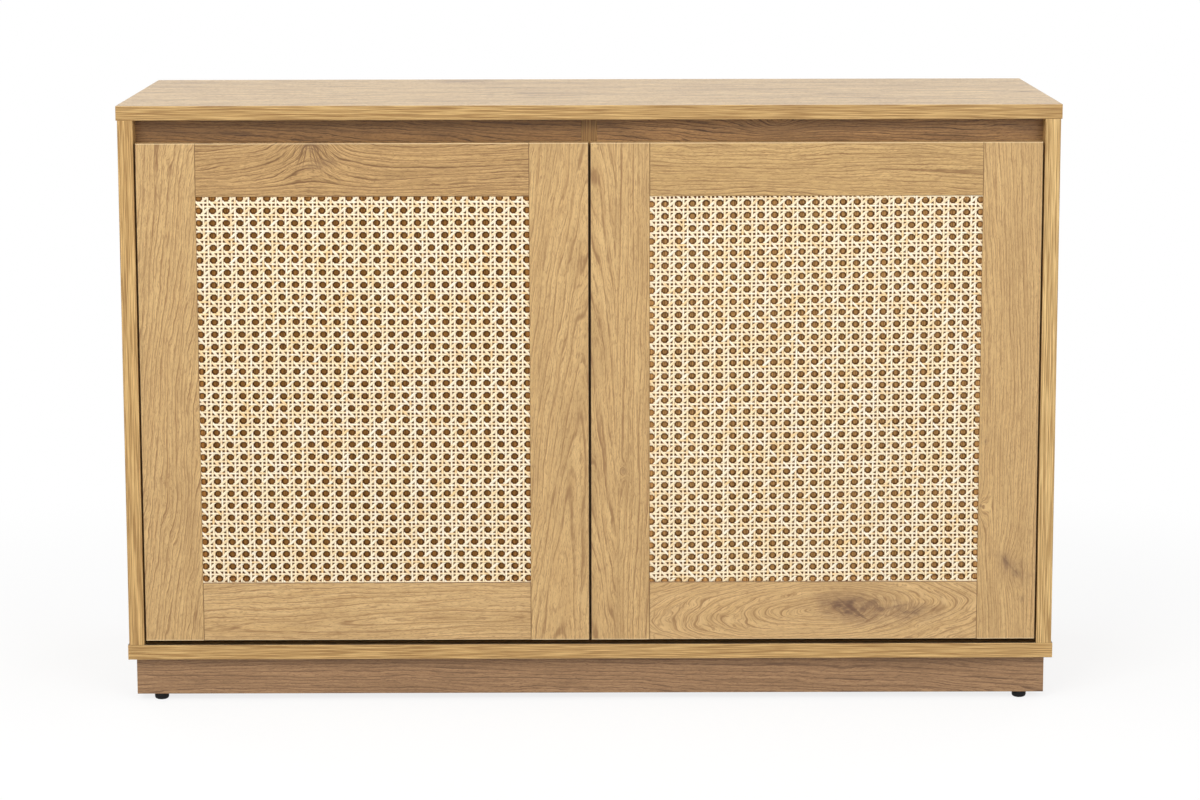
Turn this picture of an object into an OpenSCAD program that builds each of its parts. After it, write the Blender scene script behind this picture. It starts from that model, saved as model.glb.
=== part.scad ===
/* [Carcass] */
// Width across the outer faces of the two side panels
body_w = 1100; // [700:10:1600]
// Depth of the top and bottom boards, front edge to back edge
body_d = 400; // [300:5:600]
// Height of the side panels between the bottom board and the top board
side_h = 626.5; // [450:0.5:900]
// Thickness of the side, bottom, divider and rail boards
board_t = 18; // [17:0.5:25]
// Thickness of the top board
top_t = 17; // [15:0.5:30]
// How far the top and bottom boards stand out past each side panel
end_overhang = 1.5; // [0:0.5:20]
// Chamfer that eases the long edges of the boards
edge_ease = 0.6; // [0.2:0.1:1.5]
// Height of the two rails behind the finger gap
top_rail_board_h = 60; // [45:1:90]

/* [Back] */
// Thickness of the back panels
back_t = 3; // [2:0.5:6]
// Thickness of the joining strip's flange behind the back panels
strip_t = 1; // [0.8:0.1:2]
// Width of the joining strip's flange
strip_w = 22; // [16:1:30]
// Width of the joining strip's web between the two back panels
strip_web = 4; // [3:0.5:6]
// Play between the edge of a back panel and its neighbours
back_play = 0.2; // [0.1:0.05:0.5]
// Shank diameter of the back panel nails
nail_d = 1.6; // [1.2:0.1:2.4]
// Head diameter of the back panel nails
nail_head_d = 4.5; // [3.5:0.1:7]
// Length of the back panel nails under the head
nail_l = 18; // [12:1:25]

/* [Plinth] */
// Height of the plinth boards
plinth_h = 45; // [42:1:90]
// Distance of the plinth behind the front and back edges of the bottom board
plinth_setback = 12; // [4:1:40]
// Distance of the plinth ends inside the outer faces of the side panels
plinth_end_inset = 7; // [2:1:40]
// Side of the square corner blocks inside the plinth
block_w = 28; // [24:1:40]
// Height of the corner blocks
block_h = 36; // [30:1:40]

/* [Glides] */
// Height of the plastic glides under the plinth
glide_h = 7.5; // [6:0.5:14]
// Diameter of the glides
glide_d = 17; // [14:0.5:18]
// Distance of each glide's centre from the end of the plinth
glide_inset = 28; // [15:1:120]
// Diameter of the pin that holds a glide
glide_pin_d = 2.5; // [2:0.1:4]
// Length of the pin that holds a glide
glide_pin_l = 15; // [10:1:20]

/* [Doors] */
// Thickness of the doors
door_t = 18; // [17.5:0.1:18.3]
// Gap between the hinge edge of a door and the side panel
door_gap = 2; // [1.9:0.1:3]
// Gap between the two doors
meeting_gap = 2; // [1.5:0.1:4]
// Height of the finger gap over the doors
finger_gap = 27; // [20:1:40]
// Gap between the bottom board and the doors
door_lift = 5.5; // [2:0.5:10]
// Distance between the back of the doors and the rails and divider behind them
door_clear = 4.5; // [4.4:0.1:8]
// Width of the upright members of the door frames
stile_w = 69.5; // [62:0.5:90]
// Height of the top member of the door frames
top_rail_h = 62.5; // [50:0.5:90]
// Height of the bottom member of the door frames
bottom_rail_h = 70; // [50:0.5:90]

/* [Cane panels] */
// Thickness of the cane webbing
cane_t = 1.4; // [1:0.1:2.5]
// Distance of the webbing behind the front of the door frame
cane_setback = 1; // [0.5:0.1:3]
// Thickness of the spacer strips between the webbing and the backing panel
spacer_t = 2; // [1:0.1:3]
// Width of the spacer strips
spacer_w = 5; // [4:0.5:8]
// Thickness of the backing panel
backing_t = 4; // [3:0.1:5]
// Depth of the groove that holds the backing panel
groove_depth = 8; // [5:0.5:10]
// Play of the webbing, spacers and backing panel in the door frame
panel_play = 0.15; // [0.05:0.05:0.4]

/* [Hinges] */
// Distance of the hinge axis from the hinge edge of the door
pivot_in = 10.6; // [10.5:0.1:11.2]
// Distance of the hinge axis behind the front of the door
pivot_back = 6.2; // [6.1:0.05:6.3]
// Distance of the hinge centres from the top and bottom edges of a door
hinge_inset = 95; // [80:1:150]
// Diameter of the hinge cup
cup_d = 35; // [35:0.1:36]
// Depth of the hinge cup in the door
cup_depth = 14.6; // [14.5:0.05:14.7]
// Wood left between the door's hinge edge and the cup
cup_edge = 5; // [4.5:0.1:5.5]
// Wall thickness of the cup
cup_wall = 0.8; // [0.6:0.1:1.1]
// Diameter of the hinge pin
pin_d = 2.5; // [2.2:0.1:2.8]
// Running clearance between the pin and the eye of the arm, on the radius
pin_play = 0.05; // [0.02:0.01:0.08]
// Outer diameter of the eye of the arm
eye_d = 4; // [3.7:0.1:4.2]
// Width of the hinge arm
arm_w = 14; // [10:1:14]
// Sheet thickness of the hinge arm
arm_t = 2; // [1.5:0.1:2.2]
// Height of the mounting plate on the side panel
plate_h = 6; // [4:0.5:8]
// Distance of the mounting plate's screws behind the front edge of the side
plate_line = 58; // [54:1:75]
// Height of the mounting plate's two wings
plate_wing_h = 48; // [44:1:56]
// Width of the wings, front to back
plate_wing_d = 16; // [12:1:18]
// Distance between the two screws in the wings
plate_screw_pitch = 32; // [28:1:36]
// Distance between the two screws that hold the arm on the plate
arm_screw_pitch = 28; // [24:1:32]
// Shank diameter of the screws that hold the arm
arm_screw_d = 4; // [3:0.5:5]
// Length of those screws in the plate
arm_screw_l = 3.8; // [3:0.1:3.9]

/* [Shelves] */
// Thickness of the shelves
shelf_t = 15; // [12:0.5:22]
// Height of the underside of the shelves over the bottom board
shelf_height = 302; // [200:1:400]
// Distance of the shelf's front edge behind the front edge of the divider
shelf_setback = 12; // [4:1:60]
// Play of a shelf at each end
shelf_play = 0.75; // [0.5:0.05:1.5]
// Diameter of the shelf pins
shelf_pin_d = 5; // [4:0.5:6]
// Depth of the holes for the shelf pins
shelf_hole_l = 8; // [6:0.5:8.2]
// Distance of the front pins behind the shelf's front edge
pin_front = 40; // [25:1:80]
// Distance of the rear pins from the shelf's rear edge
pin_rear = 50; // [25:1:80]
// Distance between the holes for the shelf pins
hole_pitch = 32; // [20:1:40]
// Number of pin holes over the one in use, and also under it
spare_holes = 2; // [0:1:3]

/* [Joinery] */
// Diameter of the wooden dowels
dowel_d = 8; // [6:0.5:8]
// Depth of a dowel in the face of a board
dowel_face_l = 8; // [6:0.5:8.2]
// Depth of a dowel in the end of a board
dowel_end_l = 22; // [15:1:26]
// Length of the dowels in the corners of the door frames
frame_dowel_l = 32; // [24:1:40]
// Play round dowels, cams, bolts and screws in their holes
fit_play = 0.05; // [0.02:0.01:0.1]
// Diameter of the cam locks
cam_d = 15; // [12:0.5:15]
// Height of the cam locks
cam_h = 12; // [11.5:0.1:13]
// Distance of a cam lock's centre from the end of its board
cam_offset = 34; // [24:1:40]
// Shank diameter of the bolts that the cams pull
bolt_d = 6; // [5:0.5:7]
// Thread diameter of those bolts in the face of the other board
bolt_thread_d = 5; // [4:0.5:6]
// Depth of the thread in the other board
bolt_thread_l = 11; // [8:0.5:12]

/* [Catches] */
// Depth of the magnetic catches, front to back
catch_d = 26; // [18:1:35]
// Width of the magnetic catches
catch_w = 13; // [10:0.5:16]
// Height of the magnetic catches
catch_h = 44; // [36:1:55]
// Distance of a catch's centre below the top of the door
catch_drop = 130; // [115:1:200]
// Thickness of the steel plate on the door
catch_plate_t = 1.5; // [1:0.1:2]
// Gap between a closed door and its catch or bumpers
shut_gap = 0.3; // [0.2:0.05:0.5]
// Diameter of the felt bumpers on the divider
bumper_d = 7; // [5:0.5:7]
// Distance of the lower bumpers over the bottom edge of the doors
bumper_low = 30; // [15:1:80]
// Distance of the upper bumpers under the top edge of the doors
bumper_high = 18; // [8:1:60]
// Shank diameter of the wood screws in the hardware
screw_d = 3.5; // [3:0.1:4]
// Head diameter of those screws
screw_head_d = 7; // [6:0.1:8]

/* [Hidden] */
$fn = 32;
eps = 0.01;

oak = [0.78, 0.65, 0.46];
oak_light = [0.83, 0.72, 0.55];
oak_shade = [0.62, 0.48, 0.33];
cane = [0.91, 0.82, 0.63];
beech = [0.85, 0.73, 0.53];
steel = [0.72, 0.73, 0.74];
zinc = [0.66, 0.66, 0.64];
black = [0.12, 0.12, 0.12];
white = [0.9, 0.9, 0.88];

// Heights, all over the floor
plinth_z = glide_h;
bottom_z = plinth_z + plinth_h;
side_z = bottom_z + board_t;
top_z = side_z + side_h;

// Depths, the front edge of the boards at the lowest Y
front_y = -body_d / 2;
rear_y = body_d / 2;
carcass_rear_y = rear_y - back_t - strip_t;
side_d = carcass_rear_y - front_y;
rail_y = front_y + door_t + door_clear;

// Widths
top_w = body_w + 2 * end_overhang;
inner_x = body_w / 2 - board_t;
half_div = board_t / 2;
bay_w = inner_x - half_div;

// Doors, measured on the left one
door_x = -inner_x + door_gap;
door_w = inner_x - door_gap - meeting_gap / 2;
door_z = side_z + door_lift;
door_h = side_h - finger_gap - door_lift;
open_w = door_w - 2 * stile_w;
open_z = door_z + bottom_rail_h;
open_h = door_h - top_rail_h - bottom_rail_h;
cane_y = front_y + cane_setback;
spacer_y = cane_y + cane_t;
backing_y = spacer_y + spacer_t;
door_back_y = front_y + door_t;

// Hinges, measured on the left side panel
pivot_x = door_x + pivot_in;
pivot_y = front_y + pivot_back;
cup_x = door_x + cup_edge + cup_d / 2;
hinge_zs = [door_z + hinge_inset, door_z + door_h - hinge_inset];
cup_r = cup_d / 2;
cup_in_r = cup_r - cup_wall;
flange_t = 1;
wing_w = 13;
wing_l = 62;
cup_screw_z = 24;
boss_z = arm_w / 2 + 0.4;
pin_l = 2 * boss_z + 7.2;
swing_r = sqrt(pow(pivot_in, 2) + pow(door_t - pivot_back, 2));
neck_in = max(swing_r + 0.7, door_t - pivot_back + flange_t + 3);
neck_y = swing_r + 1.1;
plate_l = 50;
plate_w = 14;
plate_wing_t = 2.4;
arm_end_y = front_y + plate_line + 26;
arm_top_y = pivot_y + neck_y;

// Joinery stations along the depth and height
cam_ys = [front_y + side_d * 0.2, front_y + side_d * 0.82];
dowel_ys = [front_y + side_d * 0.36, front_y + side_d * 0.66];
rail_dowel_zs = [top_z - top_rail_board_h * 0.25, top_z - top_rail_board_h * 0.75];
rail_dowel_y = rail_y + board_t / 2;
shelf_z = side_z + shelf_height;
shelf_y = rail_y + shelf_setback;
shelf_d = carcass_rear_y - 1 - shelf_y;
pin_ys = [shelf_y + pin_front, shelf_y + shelf_d - pin_rear];
pin_z = shelf_z - shelf_pin_d / 2;
pin_out = 8;
hole_zs = [for (i = [-spare_holes : spare_holes]) pin_z + i * hole_pitch];
plinth_front_y = front_y + plinth_setback;
plinth_rear_y = rear_y - plinth_setback;
plinth_x = body_w / 2 - plinth_end_inset;
plinth_dowel_xs = [-plinth_x * 0.7, -plinth_x * 0.3, plinth_x * 0.3, plinth_x * 0.7];
plinth_dowel_zs = [plinth_z + plinth_h * 0.28, plinth_z + plinth_h * 0.72];
// The corner blocks' screws, over the foot of the block: one near its top, and one midway between the dowels
block_screw_z1 = block_h * 0.8;
block_screw_z2 = plinth_z + plinth_h / 2 - (bottom_z - block_h);
catch_z = door_z + door_h - catch_drop;
catch_front_y = door_back_y + catch_plate_t + shut_gap;
catch_screw_dz = catch_h / 2 - 7;
bumper_zs = [door_z + bumper_low, door_z + door_h - bumper_high];
nail_zs = [for (i = [0 : 4]) side_z + side_h * (0.06 + 0.22 * i)];
frame_dowel_zs = [door_z + bottom_rail_h * 0.25, door_z + bottom_rail_h * 0.62,
    door_z + door_h - top_rail_h * 0.62, door_z + door_h - top_rail_h * 0.25];

// Outline of a board with its four long edges eased
function eased(w, t, e) = [[e, 0], [w - e, 0], [w, e], [w, t - e], [w - e, t], [e, t], [0, t - e], [0, e]];

// Boards that run along X, Y and Z, each from its lowest corner
module board_x(l, d, h) { rotate([90, 0, 90]) linear_extrude(l) polygon(eased(d, h, edge_ease)); }
module board_y(w, l, h) { translate([0, l, 0]) rotate([90, 0, 0]) linear_extrude(l) polygon(eased(w, h, edge_ease)); }
module board_z(w, d, l) { linear_extrude(l) polygon(eased(w, d, edge_ease)); }

// Round bars along each axis, centred on their axis
module bar_x(d, l) { rotate([0, 90, 0]) cylinder(d = d, h = l); }
module bar_y(d, l) { rotate([-90, 0, 0]) cylinder(d = d, h = l); }

module both_sides() { children(); mirror([1, 0, 0]) children(); }

// Cam, bolt and dowel at the end of an upright board. The local frame has its origin on the
// middle of the board's end, +Z into the other board and +X towards the face that shows the cam.
module cam_hole() {
    translate([half_div - cam_h - 0.5, 0, -cam_offset]) bar_x(cam_d + 2 * fit_play, cam_h + 1);
    translate([0, 0, -cam_offset]) cylinder(d = bolt_d + 1, h = cam_offset + eps);
}
module cam_solid() {
    translate([0, 0, -cam_offset]) difference() {
        translate([half_div - cam_h - 0.2, 0, 0]) bar_x(cam_d, cam_h);
        translate([0, 0, -bolt_d / 2 - 0.6]) cylinder(d = bolt_d + 1.2, h = cam_d);
        translate([half_div - 2.2, -cam_d * 0.32, -0.7]) cube([4, cam_d * 0.64, 1.4]);
        translate([half_div - 2.2, -0.7, -cam_d * 0.32]) cube([4, 1.4, cam_d * 0.64]);
    }
}
module bolt_solid() {
    translate([0, 0, -cam_offset - bolt_d / 2]) cylinder(d = bolt_d, h = bolt_d * 0.55);
    translate([0, 0, -cam_offset - bolt_d / 2 + bolt_d * 0.5]) cylinder(d = bolt_d * 0.62, h = bolt_d * 0.5);
    translate([0, 0, -cam_offset + bolt_d * 0.45]) cylinder(d = bolt_d, h = cam_offset - bolt_d * 0.45);
    translate([0, 0, -eps]) cylinder(d = bolt_thread_d, h = bolt_thread_l + eps);
}
module bolt_hole() { translate([0, 0, -eps]) cylinder(d = bolt_thread_d + 2 * fit_play, h = bolt_thread_l + 0.5); }
module dowel_solid() { translate([0, 0, -dowel_end_l]) cylinder(d = dowel_d, h = dowel_end_l + dowel_face_l); }
module dowel_hole() { translate([0, 0, -dowel_end_l - 0.3]) cylinder(d = dowel_d + 2 * fit_play, h = dowel_end_l + dowel_face_l + 0.6); }

// Places children at the top and bottom ends of the two side panels and the divider
module at_ends(ys) {
    for (y = ys) {
        for (x = [-inner_x - half_div, 0]) {
            translate([x, y, top_z]) children();
            translate([x, y, side_z]) mirror([0, 0, 1]) children();
        }
        mirror([1, 0, 0]) translate([-inner_x - half_div, y, 0]) {
            translate([0, 0, top_z]) children();
            translate([0, 0, side_z]) mirror([0, 0, 1]) children();
        }
    }
}

// Dowels between the ends of the top rails and the side panels and divider
module rail_dowels(play) {
    l_out = dowel_face_l + (play > 0 ? 0.3 : 0);
    both_sides() for (z = rail_dowel_zs) {
        translate([-inner_x - l_out, rail_dowel_y, z]) bar_x(dowel_d + 2 * play, l_out + dowel_end_l + (play > 0 ? 0.3 : 0));
        translate([-half_div - dowel_end_l - (play > 0 ? 0.3 : 0), rail_dowel_y, z]) bar_x(dowel_d + 2 * play, l_out + dowel_end_l + (play > 0 ? 0.3 : 0));
    }
}

// Dowels that hold the plinth boards to each other and to the bottom board
module plinth_dowels(play) {
    more = play > 0 ? 0.3 : 0;
    for (x = plinth_dowel_xs, y = [plinth_front_y + half_div, plinth_rear_y - half_div])
        translate([x, y, bottom_z - dowel_end_l - more]) cylinder(d = dowel_d + 2 * play, h = dowel_end_l + dowel_face_l + 2 * more);
    for (x = [-plinth_x + half_div, 0, plinth_x - half_div], z = plinth_dowel_zs) {
        translate([x, plinth_front_y + board_t - dowel_face_l - more, z]) bar_y(dowel_d + 2 * play, dowel_face_l + dowel_end_l + 2 * more);
        translate([x, plinth_rear_y - board_t - dowel_end_l - more, z]) bar_y(dowel_d + 2 * play, dowel_face_l + dowel_end_l + 2 * more);
    }
}

module at_glides() {
    for (x = [-1, 1], y = [plinth_front_y + half_div, plinth_rear_y - half_div])
        translate([x * (plinth_x - glide_inset), y, 0]) children();
}

// Nails: two rows in the side panels and one row in the divider
module nail_rows(grow) {
    for (z = nail_zs) {
        for (s = [-1, 1]) translate([s * (body_w / 2 - half_div), rear_y - strip_t, z]) rotate([90, 0, 0]) {
            translate([0, 0, -eps]) cylinder(d = nail_d + 2 * grow, h = nail_l + eps);
            if (grow == 0) translate([0, 0, -0.8]) cylinder(d = nail_head_d, h = 0.8);
        }
        translate([0, rear_y, z]) rotate([90, 0, 0]) translate([0, 0, grow > 0 ? -1 : 0]) cylinder(d = nail_d + 2 * grow, h = nail_l + (grow > 0 ? 1.2 : 0));
    }
}

module shelf_holes(faces) {
    for (x = faces, y = pin_ys, z = hole_zs)
        translate([x - shelf_hole_l - 0.2, y, z]) bar_x(shelf_pin_d + 2 * fit_play, 2 * shelf_hole_l + 0.4);
}

// Screws of the mounting plates, seen from the left side panel
module at_plate_screws() {
    for (z = hinge_zs, s = [-1, 1]) translate([-inner_x, front_y + plate_line, z + s * plate_screw_pitch / 2]) children();
}

// Screws that hold an arm on its plate, on the plate's face
module at_arm_screws(z) {
    for (s = [-1, 1]) translate([-inner_x + plate_h, front_y + plate_line + s * arm_screw_pitch / 2, z]) children();
}

module side_solid() {
    difference() {
        translate([-body_w / 2, front_y, side_z]) board_z(board_t, side_d, side_h);
        at_ends(cam_ys) cam_hole();
        at_ends(dowel_ys) dowel_hole();
        rail_dowels(fit_play);
        for (y = pin_ys, z = hole_zs)
            translate([-inner_x - shelf_hole_l - 0.2, y, z]) bar_x(shelf_pin_d + 2 * fit_play, shelf_hole_l + 1);
        at_plate_screws() translate([-12.2, 0, 0]) bar_x(screw_d + 2 * fit_play, 13);
        nail_rows(fit_play);
    }
}

module left_side_panel() { color(oak) side_solid(); }
module right_side_panel() { color(oak) mirror([1, 0, 0]) side_solid(); }

module top_panel() {
    color(oak_light) difference() {
        translate([-top_w / 2, front_y, top_z]) board_x(top_w, body_d, top_t);
        at_ends(cam_ys) bolt_hole();
        at_ends(dowel_ys) dowel_hole();
    }
}

module bottom_panel() {
    color(oak) difference() {
        translate([-top_w / 2, front_y, bottom_z]) board_x(top_w, body_d, board_t);
        at_ends(cam_ys) bolt_hole();
        at_ends(dowel_ys) dowel_hole();
        plinth_dowels(fit_play);
    }
}

module centre_divider() {
    color(oak_shade) difference() {
        translate([-half_div, rail_y, side_z]) board_z(board_t, carcass_rear_y - rail_y, side_h);
        at_ends(cam_ys) cam_hole();
        at_ends(dowel_ys) dowel_hole();
        rail_dowels(fit_play);
        for (s = [-1, 1], y = pin_ys, z = hole_zs)
            translate([s * half_div - (s > 0 ? shelf_hole_l + 0.2 : 1), y, z]) bar_x(shelf_pin_d + 2 * fit_play, shelf_hole_l + 1.2);
        catch_screw_bars(fit_play);
        nail_rows(fit_play);
    }
}

module rail_solid() {
    difference() {
        translate([-inner_x, rail_y, top_z - top_rail_board_h]) board_x(bay_w, board_t, top_rail_board_h);
        rail_dowels(fit_play);
    }
}
module left_top_rail() { color(oak_shade) rail_solid(); }
module right_top_rail() { color(oak_shade) mirror([1, 0, 0]) rail_solid(); }

module back_solid() {
    difference() {
        translate([-body_w / 2 + 1, carcass_rear_y, side_z + back_play])
            cube([body_w / 2 - 1 - strip_web / 2 - back_play, back_t, side_h - 2 * back_play]);
        nail_rows(fit_play);
    }
}
module left_back_panel() { color(white) back_solid(); }
module right_back_panel() { color(white) mirror([1, 0, 0]) back_solid(); }

module back_joining_strip() {
    color(white) difference() {
        union() {
            translate([-strip_w / 2, rear_y - strip_t, side_z + back_play]) cube([strip_w, strip_t, side_h - 2 * back_play]);
            translate([-strip_web / 2, carcass_rear_y, side_z + back_play]) cube([strip_web, back_t + eps, side_h - 2 * back_play]);
        }
        nail_rows(fit_play);
    }
}

module long_plinth() {
    difference() {
        translate([-plinth_x, plinth_front_y, plinth_z]) board_x(2 * plinth_x, board_t, plinth_h);
        plinth_dowels(fit_play);
        at_glides() translate([0, 0, glide_h - eps]) cylinder(d = glide_pin_d + 2 * fit_play, h = glide_pin_l + 0.5);
        block_screw_bars(fit_play);
    }
}
module plinth_front() { color(oak_shade) long_plinth(); }
module plinth_back() { color(oak_shade) mirror([0, 1, 0]) long_plinth(); }

module end_plinth() {
    difference() {
        translate([-plinth_x, plinth_front_y + board_t, plinth_z]) board_y(board_t, plinth_rear_y - plinth_front_y - 2 * board_t, plinth_h);
        plinth_dowels(fit_play);
        block_screw_bars(fit_play);
    }
}
module plinth_left_end() { color(oak_shade) end_plinth(); }
module plinth_right_end() { color(oak_shade) mirror([1, 0, 0]) end_plinth(); }
module plinth_centre_brace() {
    color(oak_shade) difference() {
        translate([-half_div, plinth_front_y + board_t, plinth_z]) board_y(board_t, plinth_rear_y - plinth_front_y - 2 * board_t, plinth_h);
        plinth_dowels(fit_play);
    }
}

// The four inner corners of the plinth, from the left front one
module at_plinth_corners() {
    for (m = [0, 1], n = [0, 1]) mirror([m, 0, 0]) mirror([0, n, 0])
        translate([-plinth_x + board_t, plinth_front_y + board_t, bottom_z - block_h]) children();
}
module plinth_corner_blocks() {
    color(beech) difference() {
        at_plinth_corners() linear_extrude(block_h) polygon([[0, 0], [block_w, 0], [block_w, block_w * 0.75], [block_w * 0.75, block_w], [0, block_w]]);
        block_screw_bars(fit_play);
    }
}
// One screw into the long plinth board and one into the end board, at different heights
module block_screw_bars(grow) {
    at_plinth_corners() {
        translate([block_w / 2, -12, block_screw_z1]) bar_y(screw_d + 2 * grow, 12 + block_w + 1);
        translate([-12, block_w / 2, block_screw_z2]) bar_x(screw_d + 2 * grow, 12 + block_w + 1);
    }
}
module plinth_block_screws() {
    color(zinc) at_plinth_corners() {
        translate([block_w / 2, -11.8, block_screw_z1]) bar_y(screw_d, 11.8 + block_w + eps);
        translate([block_w / 2, block_w, block_screw_z1]) bar_y(screw_head_d, 2);
        translate([-11.8, block_w / 2, block_screw_z2]) bar_x(screw_d, 11.8 + block_w + eps);
        translate([block_w, block_w / 2, block_screw_z2]) bar_x(screw_head_d, 2);
    }
}

module glide_feet() {
    r = glide_d / 2;
    color(black) at_glides() rotate_extrude() polygon([[0, 0], [r * 0.74, 0], [r * 0.93, glide_h * 0.14], [r, glide_h * 0.36],
        [r, glide_h * 0.8], [r * 0.92, glide_h], [glide_pin_d / 2, glide_h], [glide_pin_d / 2, glide_h + glide_pin_l], [0, glide_h + glide_pin_l]]);
}

module shelf_solid() {
    translate([-inner_x + shelf_play, shelf_y, shelf_z]) board_x(bay_w - 2 * shelf_play, shelf_d, shelf_t);
}
module left_shelf() { color(oak) shelf_solid(); }
module right_shelf() { color(oak) mirror([1, 0, 0]) shelf_solid(); }

// A shelf pin has a round stem in its hole, a collar on the board and a stub under the shelf
module shelf_pins() {
    color(zinc) both_sides() for (y = pin_ys) {
        translate([-inner_x, y, pin_z]) {
            translate([-shelf_hole_l, 0, 0]) bar_x(shelf_pin_d, shelf_hole_l + pin_out);
        }
        mirror([1, 0, 0]) translate([half_div, y, pin_z]) {
            translate([-shelf_hole_l, 0, 0]) bar_x(shelf_pin_d, shelf_hole_l + pin_out);
        }
    }
}

module cam_locks() { color(zinc) at_ends(cam_ys) cam_solid(); }
module cam_bolts() { color(steel) at_ends(cam_ys) bolt_solid(); }
module wooden_dowels() {
    color(beech) {
        at_ends(dowel_ys) dowel_solid();
        rail_dowels(0);
        plinth_dowels(0);
    }
}
module back_panel_nails() { color(steel) nail_rows(0); }

// Mounting plate: a raised bar along the depth with two wings for its screws
module hinge_mounting_plates() {
    color(steel) both_sides() for (z = hinge_zs) difference() {
        union() {
            translate([-inner_x, front_y + plate_line - plate_l / 2, z - plate_w / 2]) cube([plate_h, plate_l, plate_w]);
            translate([-inner_x, front_y + plate_line - plate_wing_d / 2, z - plate_wing_h / 2]) cube([plate_wing_t, plate_wing_d, plate_wing_h]);
        }
        at_plate_screws() translate([-1, 0, 0]) bar_x(screw_d + 2 * fit_play, 10);
        at_arm_screws(z) translate([-arm_screw_l - 0.2, 0, 0]) bar_x(arm_screw_d + 2 * fit_play, arm_screw_l + 1.2);
    }
}
module hinge_plate_screws() {
    color(zinc) both_sides() at_plate_screws() {
        translate([-12, 0, 0]) bar_x(screw_d, 12 + plate_wing_t + eps);
        translate([plate_wing_t, 0, 0]) bar_x(screw_head_d, 1.8);
    }
}

// Goose-neck arm: an eye round the pin, a reach out of the cup, a return to the side panel
// and a flat base on the mounting plate
module hinge_arms() {
    color(steel) both_sides() for (z = hinge_zs) difference() {
        union() {
            translate([pivot_x, pivot_y, z - arm_w / 2]) cylinder(d = eye_d, h = arm_w);
            translate([pivot_x, pivot_y - arm_t / 2, z - arm_w / 2]) cube([neck_in + arm_t, arm_t, arm_w]);
            translate([pivot_x + neck_in, pivot_y - arm_t / 2, z - arm_w / 2]) cube([arm_t, neck_y + arm_t * 1.5, arm_w]);
            translate([-inner_x + plate_h, arm_top_y, z - arm_w / 2]) cube([pivot_x + neck_in + arm_t + inner_x - plate_h, arm_t, arm_w]);
            translate([-inner_x + plate_h, arm_top_y, z - arm_w / 2]) cube([arm_t, arm_end_y - arm_top_y, arm_w]);
        }
        translate([pivot_x, pivot_y, z - arm_w]) cylinder(d = pin_d + 2 * pin_play, h = 2 * arm_w);
        at_arm_screws(z) translate([-1, 0, 0]) bar_x(arm_screw_d + 2 * fit_play, arm_t + 2);
    }
}
module hinge_arm_screws() {
    color(zinc) both_sides() for (z = hinge_zs) at_arm_screws(z) {
        translate([-arm_screw_l, 0, 0]) bar_x(arm_screw_d, arm_screw_l + arm_t + eps);
        translate([arm_t, 0, 0]) bar_x(screw_head_d, screw_head_d * 0.23);
    }
}

// Magnetic catches on the two faces of the divider
module magnetic_catches() {
    color(white) both_sides() difference() {
        union() {
            translate([-half_div - catch_w, catch_front_y + 1, catch_z - catch_h / 2]) cube([catch_w, catch_d, catch_h]);
            for (dx = [3, catch_w - 4.5]) translate([-half_div - dx - 1.5, catch_front_y, catch_z - catch_h / 2 + 12]) cube([1.5, 4, catch_h - 24]);
        }
        catch_screw_bars(fit_play);
    }
}
catch_bite = half_div - 1;
module catch_screw_bars(grow) {
    both_sides() for (s = [-1, 1])
        translate([-half_div - catch_w - 1, catch_front_y + 1 + catch_d / 2, catch_z + s * catch_screw_dz]) bar_x(screw_d + 2 * grow, catch_w + 1 + catch_bite);
}
module catch_screws() {
    color(zinc) both_sides() for (s = [-1, 1])
        translate([-half_div - catch_w, catch_front_y + 1 + catch_d / 2, catch_z + s * catch_screw_dz]) {
            translate([-1.6, 0, 0]) bar_x(screw_head_d, 1.6);
            translate([-eps, 0, 0]) bar_x(screw_d, catch_w + catch_bite - 0.2);
        }
}

module door_bumpers() {
    color(white) both_sides() for (z = bumper_zs)
        translate([-meeting_gap / 2 - 0.4 - bumper_d / 2, door_back_y + shut_gap, z]) bar_y(bumper_d, door_clear - shut_gap);
}

// Door frame, drawn for the left door
module groove() {
    translate([door_x + stile_w - groove_depth, backing_y - panel_play, open_z - groove_depth])
        cube([open_w + 2 * groove_depth, backing_t + 2 * panel_play, open_h + 2 * groove_depth]);
}
module door_dowel_bars(play) {
    more = play > 0 ? 0.3 : 0;
    for (z = frame_dowel_zs, x = [door_x + stile_w, door_x + door_w - stile_w])
        translate([x - frame_dowel_l / 2 - more, front_y + door_t / 2, z]) bar_x(dowel_d + 2 * play, frame_dowel_l + 2 * more);
}
module at_cups() { for (z = hinge_zs) translate([cup_x, door_back_y, z]) children(); }
module at_cup_screws() { at_cups() for (dz = [-cup_screw_z, cup_screw_z]) translate([3, 0, dz]) children(); }

module hinge_stile_solid() {
    difference() {
        translate([door_x, front_y, door_z]) board_z(stile_w, door_t, door_h);
        groove();
        door_dowel_bars(fit_play);
        at_cups() translate([0, -cup_depth - fit_play, 0]) bar_y(cup_d + 2 * fit_play, cup_depth + 1);
        at_cup_screws() translate([0, -11.2, 0]) bar_y(screw_d + 2 * fit_play, 12);
    }
}
module lock_stile_solid() {
    difference() {
        translate([door_x + door_w - stile_w, front_y, door_z]) board_z(stile_w, door_t, door_h);
        groove();
        door_dowel_bars(fit_play);
        plate_screw_bar(fit_play);
    }
}
module top_rail_solid() {
    difference() {
        translate([door_x + stile_w, front_y, open_z + open_h]) board_x(open_w, door_t, top_rail_h);
        groove();
        door_dowel_bars(fit_play);
    }
}
module bottom_rail_solid() {
    difference() {
        translate([door_x + stile_w, front_y, door_z]) board_x(open_w, door_t, bottom_rail_h);
        groove();
        door_dowel_bars(fit_play);
    }
}
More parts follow.
